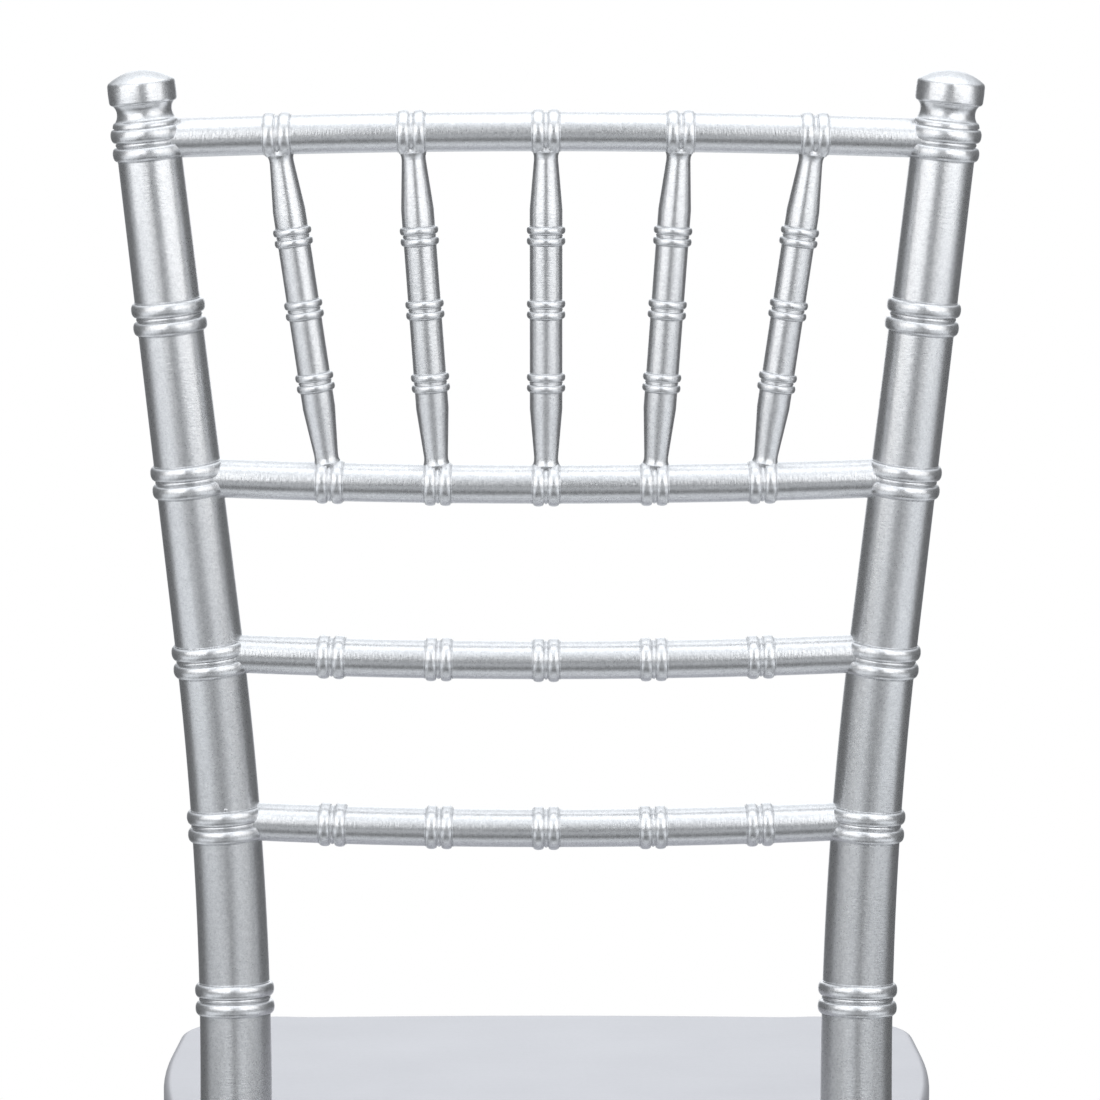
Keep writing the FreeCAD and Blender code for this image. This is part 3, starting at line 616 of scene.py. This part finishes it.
# Filler over two of the pins that lock the rails' tenons, on the left post's back, mm
pinFill = {"sides": 24, "rings": 12, "radius": 1.1, "flatness": 0.5, "proud": 0.14,
           "above": 6.2, "inside": 1.6, "rails": ("middle_rail", "lower_rail")}
for name in pinFill["rails"]:
    axis = postAt(rail["heights"][name] + pinFill["above"])
    around = postRadius(lengthAt(axis.z))
    outward = Vector((-pinFill["inside"], math.sqrt(around ** 2 - pinFill["inside"] ** 2), 0)).normalized()
    bpy.ops.object.select_all(action="DESELECT")
    bpy.ops.mesh.primitive_uv_sphere_add(segments=pinFill["sides"], ring_count=pinFill["rings"],
                                         radius=pinFill["radius"] * mm)
    plug = bpy.context.object
    plug.name = plug.data.name = "pin_filler_" + name
    plug.scale.z = pinFill["flatness"]
    bpy.ops.object.transform_apply(location=False, rotation=False, scale=True)
    surface = axis + outward * (around + pinFill["proud"] - pinFill["radius"] * pinFill["flatness"])
    lay(plug, surface, surface + outward)
    finishPiece(plug, standing, "silver_lacquered_beech")
print("stage 6: pin marks filled")

# Spindles, mm
spindle = {
    "sides": 40, "radius": 7.1, "ringPitch": 32.0, "shoulder": 7.0, "fromAxis": 1.0,
    # radius and distance from the end, with its bead of lacquer
    "foot": ((5.25, 0), (5.25, 6.5), (5.95, 7.6), (5.6, 8.3), (5.3, 9.4), (5.25, 11.0)),
}
spindlePair = {"half": 4.4, "rise": 1.3, "step": 0.2, "ledge": 0.35,
               "groove": 0.65, "ridge": 0.35, "ridgeRise": 0.3, "floor": -0.1}


def spindleOutline(length):
    middle, radius, pitch = length / 2, spindle["radius"], spindle["ringPitch"]
    reach = pitch + spindlePair["half"] + spindle["shoulder"]
    points = [(0, 0), *spindle["foot"], (radius, middle - reach)]
    for place in (middle - pitch, middle, middle + pitch):
        points += ringPair(place, radius, spindlePair)
    points.append((radius, middle + reach))
    points += [(footRadius, length - distance) for footRadius, distance in reversed(spindle["foot"])]
    return points + [(0, length)]


# Turns a piece that starts and ends that far from two other pieces' axes
def turnBetween(name, outlineOf, look, first, second):
    inset = (second - first).normalized() * look["fromAxis"]
    start, finish = first + inset, second - inset
    piece = turn(name, outlineOf((finish - start).length), look["sides"])
    lay(piece, start, finish)
    return piece


for number, place in enumerate(rail["collars"], 1):
    lower = railPoint("spindle_rail", place * rail["pitch"])
    upper = railPoint("top_rail", place * rail["topPitch"])
    label = "spindle_" + str(number)
    piece = turnBetween("turned_" + label, spindleOutline, spindle, lower, upper)
    finishPiece(piece, standing, "silver_lacquered_beech", label)
print("stage 7: spindles turned")

# Front legs, mm
leg = {
    "sides": 56, "step": 30, "topRadius": 15.0, "footRadius": 12.5,
    "across": 157.0, "setBack": 34.0, "seatFrontFromPost": 361.0, "underside": 424.0,
    "rings": (110, 205, 300, 388), "dowelRadius": 9, "dowelTop": 436,
}
legY = postAt(post["seatHeight"]).y - leg["seatFrontFromPost"] + leg["setBack"]


def legAt(height):
    return Vector((leg["across"], legY, height))


def legRadius(height):
    return leg["footRadius"] + (leg["topRadius"] - leg["footRadius"]) * height / leg["underside"]


def legOutline():
    low, underside, dowel, top = post["glide"], leg["underside"], leg["dowelRadius"], leg["dowelTop"]
    points = foot(low, legRadius(low))
    points += ringedShaft(low + lathe["footHeight"], leg["rings"], legRadius, postPair, leg["step"],
                          underside)
    return points + [(dowel, underside), (dowel, top), (0, top)]


leftLeg = turn("left_front_leg", legOutline(), leg["sides"])
lay(leftLeg, legAt(0), legAt(leg["underside"]))
rightLeg = mirrorOf(leftLeg, "right_front_leg")
finishPiece(leftLeg, standing, "silver_lacquered_beech", "front_leg_left")
finishPiece(rightLeg, standing, "silver_lacquered_beech", "front_leg_right")
print("stage 8: front legs turned")

# Rungs, mm
rung = {
    "sides": 40, "radius": 8.2, "endRadius": 6.3, "ringFromMiddle": 50.0, "taperStart": 18.0,
    "fromAxis": 1.0, "cross": {"upper": 300, "lower": 205}, "side": {"upper": 255, "lower": 160},
}


def rungOutline(length):
    middle, end, taper = length / 2, rung["endRadius"], rung["taperStart"]
    points = [(0, 0), (end, 0), (end, taper)]
    for place in (middle - rung["ringFromMiddle"], middle + rung["ringFromMiddle"]):
        points += ringPair(place, rung["radius"], smallPair)
    return points + [(end, length - taper), (end, length), (0, length)]


def makeRung(node, first, second, material):
    piece = turnBetween("turned_" + node, rungOutline, rung, first, second)
    finishPiece(piece, material, "silver_lacquered_beech", node)


for level, height in rung["cross"].items():
    makeRung("front_rung_" + level, mirrorPoint(legAt(height)), legAt(height), lying)
    makeRung("back_rung_" + level, mirrorPoint(postAt(height)), postAt(height), lying)
for level, height in rung["side"].items():
    makeRung("side_rung_left_" + level, legAt(height), postAt(height), running)
    makeRung("side_rung_right_" + level, mirrorPoint(legAt(height)), mirrorPoint(postAt(height)), running)
print("stage 9: rungs turned")

# Seat board, whose shape is the solid's
seatPiece = copyOf(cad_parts["seat_panel"], "seat_board")
seatPiece.parent = None
seatPiece.matrix_world = Matrix()
closeUp(seatPiece)
finishPiece(seatPiece, boardPaint, "silver_lacquered_board", "seat_panel")
print("stage 10: seat board made")

# Brackets, screws, pins and glides keep their solids' shapes too
for node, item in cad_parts.items():
    if node.startswith("bracket") or node == "rail_pins":
        paint(item, zinc)
    if node.startswith("glide"):
        paint(item, nylon)
print("stage 11: hardware finished")

# Studio, metres: a softbox at either side of the camera, one overhead and one behind the chair.
# Levels are the light that a mirror facing them would show.
studio = {
    "overhead": {"place": (0, 0.3, 2.1), "aim": (0, 0.1, 0.7), "size": (1.8, 1.5), "level": 0.5},
    "back": {"place": (0, -2.4, 1.5), "aim": (0, 0, 0.6), "size": (1.6, 1.6), "level": 0.5},
    "panel": {"size": (1.4, 0.94), "level": 1.16},
    "panelAngle": 40.0, "panelDistance": 1.3, "panelHeight": 1.09, "panelAim": 0.1,
    "floorRadius": 1.5, "floorSides": 96, "floorColour": 0.92,
    "fadeStart": 0.8,       # the floor fades into the white background from there to its edge
}


def softbox(name, look):
    bpy.ops.object.light_add(type="AREA", location=look["place"])
    lamp = bpy.context.object
    lamp.name = name
    lamp.data.shape = "RECTANGLE"
    lamp.data.size, lamp.data.size_y = look["size"]
    lamp.data.energy = look["level"] * math.pi * look["size"][0] * look["size"][1]
    aim = Vector(look["aim"]) - Vector(look["place"])
    lamp.rotation_euler = aim.to_track_quat("-Z", "Y").to_euler()


softbox("overhead", studio["overhead"])
softbox("back", studio["back"])
panelAngle = math.radians(studio["panelAngle"])
panelAcross = studio["panelDistance"] * math.sin(panelAngle)
panelAlong = studio["panelDistance"] * math.cos(panelAngle)
for side, name in ((1, "left_panel"), (-1, "right_panel")):
    softbox(name, dict(studio["panel"], place=(side * panelAcross, panelAlong, studio["panelHeight"]),
                       aim=(0, studio["panelAim"], studio["panelHeight"])))

# The room by direction, in stops of (place, level), as mirrored rays see it. Other rays see one
# plain level, and the camera sees white.
room = {
    # by how far aside the ray goes
    "backdrop": ((0.0, 1.05), (0.2, 0.8), (0.42, 0.16), (0.9, 0.12), (1.0, 0.18)),
    "slit": ((0.0, 0.3), (0.07, 0.5), (0.15, 1.0)),     # dark, between the two side panels
    # by how far it goes towards the camera, which for the ceiling counts from 0 straight away from it
    "near": ((0.0, 0.24), (0.1, 0.3), (0.5, 0.2), (0.8, 0.48), (0.95, 0.72), (0.99, 0.5), (1.0, 0.4)),
    "ceiling": ((0.0, 1.05), (0.5, 1.05), (1.0, 1.3)),
    # by how far it goes down
    "front": ((0.03, 0.45), (0.09, 0.3), (0.21, 0.26), (0.33, 0.44), (0.42, 0.5), (0.5, 0.48),
              (0.64, 0.26), (0.74, 0.08), (0.82, 0.10), (0.90, 0.5), (1.0, 0.9)),
    "flank": ((0.02, 0.12), (0.09, 0.12), (0.15, 0.36), (0.22, 0.72), (0.3, 0.87),
              (0.38, 1.05), (0.48, 1.1), (0.62, 0.45), (1.0, 0.8)),
    # low behind the chair: a share of the backdrop, then one level
    "backShare": 0.75, "backFloor": 0.85,
    # where one part of the room passes into the next
    "toNear": (-0.3, 0.1), "toCeiling": (0.26, 0.8), "toLower": (0.02, 0.14), "toFlank": (0.3, 0.6),
    "toBackFloor": (0.4, 0.75), "toLowerFront": (-0.25, 0.15),
    "slitFront": (0.0, 0.3), "slitBottom": (-0.34, -0.2), "slitTop": (-0.6, -0.3),
    "tint": (0.96, 1.0, 1.045, 1),
    "plain": 0.6,
}

world = bpy.context.scene.world or bpy.data.worlds.new("studio")
bpy.context.scene.world = world
bench = Bench(world)
cameraRay = bench.put("ShaderNodeLightPath", output="Is Camera Ray")
glossyRay = bench.put("ShaderNodeLightPath", output="Is Glossy Ray")
clearRay = bench.put("ShaderNodeLightPath", output="Is Transmission Ray")
ray = bench.put("ShaderNodeTexCoord", output="Generated")
across, toCamera, up = [bench.put("ShaderNodeSeparateXYZ", None, {0: ray}, axis) for axis in "XYZ"]
aside = abs(across)
down = up * -1.0

backdrop = bench.ramp(aside, room["backdrop"])
level = bench.blend(bench.rise(toCamera, *room["toNear"]), backdrop, bench.ramp(toCamera, room["near"]))
ceiling = bench.ramp(toCamera * 0.5 + 0.5, room["ceiling"])
lowFront = bench.blend(bench.rise(aside, *room["toFlank"]),
                       bench.ramp(down, room["front"]), bench.ramp(down, room["flank"]))
lowBack = bench.blend(bench.rise(down, *room["toBackFloor"]),
                      backdrop * room["backShare"], grey(room["backFloor"]))
lower = bench.blend(bench.rise(toCamera, *room["toLowerFront"]), lowBack, lowFront)
facing = bench.rise(toCamera, *room["slitFront"]) * bench.rise(up, *room["slitBottom"])
facing = facing * bench.rise(down, *room["slitTop"])
shade = bench.blend(facing, grey(1.0), bench.ramp(aside, room["slit"]))
light = bench.blend(bench.rise(up, *room["toCeiling"]), level, ceiling)
light = bench.blend(bench.rise(down, *room["toLower"]), light, lower) * shade
light = bench.blend(1.0, light, room["tint"], "MULTIPLY")
shine = bench.blend(glossyRay, grey(room["plain"]), light)
lamplight = bench.put("ShaderNodeBackground", None, {"Color": shine, "Strength": 1.0})
white = bench.put("ShaderNodeBackground", None, {"Color": grey(1.0), "Strength": 1.0})
sky = bench.put("ShaderNodeMixShader", None, {0: cameraRay.orMore(clearRay), 1: lamplight, 2: white})
bench.put("ShaderNodeOutputWorld", None, {"Surface": sky})

# Floor: mirrored rays don't see it, and neither does a camera below it
bpy.ops.mesh.primitive_circle_add(vertices=studio["floorSides"], radius=studio["floorRadius"],
                                  fill_type="NGON")
floor = bpy.context.object
floor.name = "studio_floor"
floorPaint = bpy.data.materials.new("pale_floor")
bench = Bench(floorPaint)
place = bench.put("ShaderNodeTexCoord", output="Object")
away = bench.put("ShaderNodeVectorMath", {"operation": "LENGTH"}, {0: place}, "Value")
mirrored = bench.put("ShaderNodeLightPath", output="Is Glossy Ray")
beneath = bench.put("ShaderNodeNewGeometry", output="Backfacing")
hidden = bench.share(away, studio["fadeStart"], studio["floorRadius"]).orMore(mirrored).orMore(beneath)
pale = bench.put("ShaderNodeBsdfDiffuse", None, {"Color": grey(studio["floorColour"])})
clear = bench.put("ShaderNodeBsdfTransparent")
mixed = bench.put("ShaderNodeMixShader", None, {0: hidden, 1: pale, 2: clear})
bench.put("ShaderNodeOutputMaterial", None, {"Surface": mixed})
floor.data.materials.append(floorPaint)
print("stage 12: studio lit")
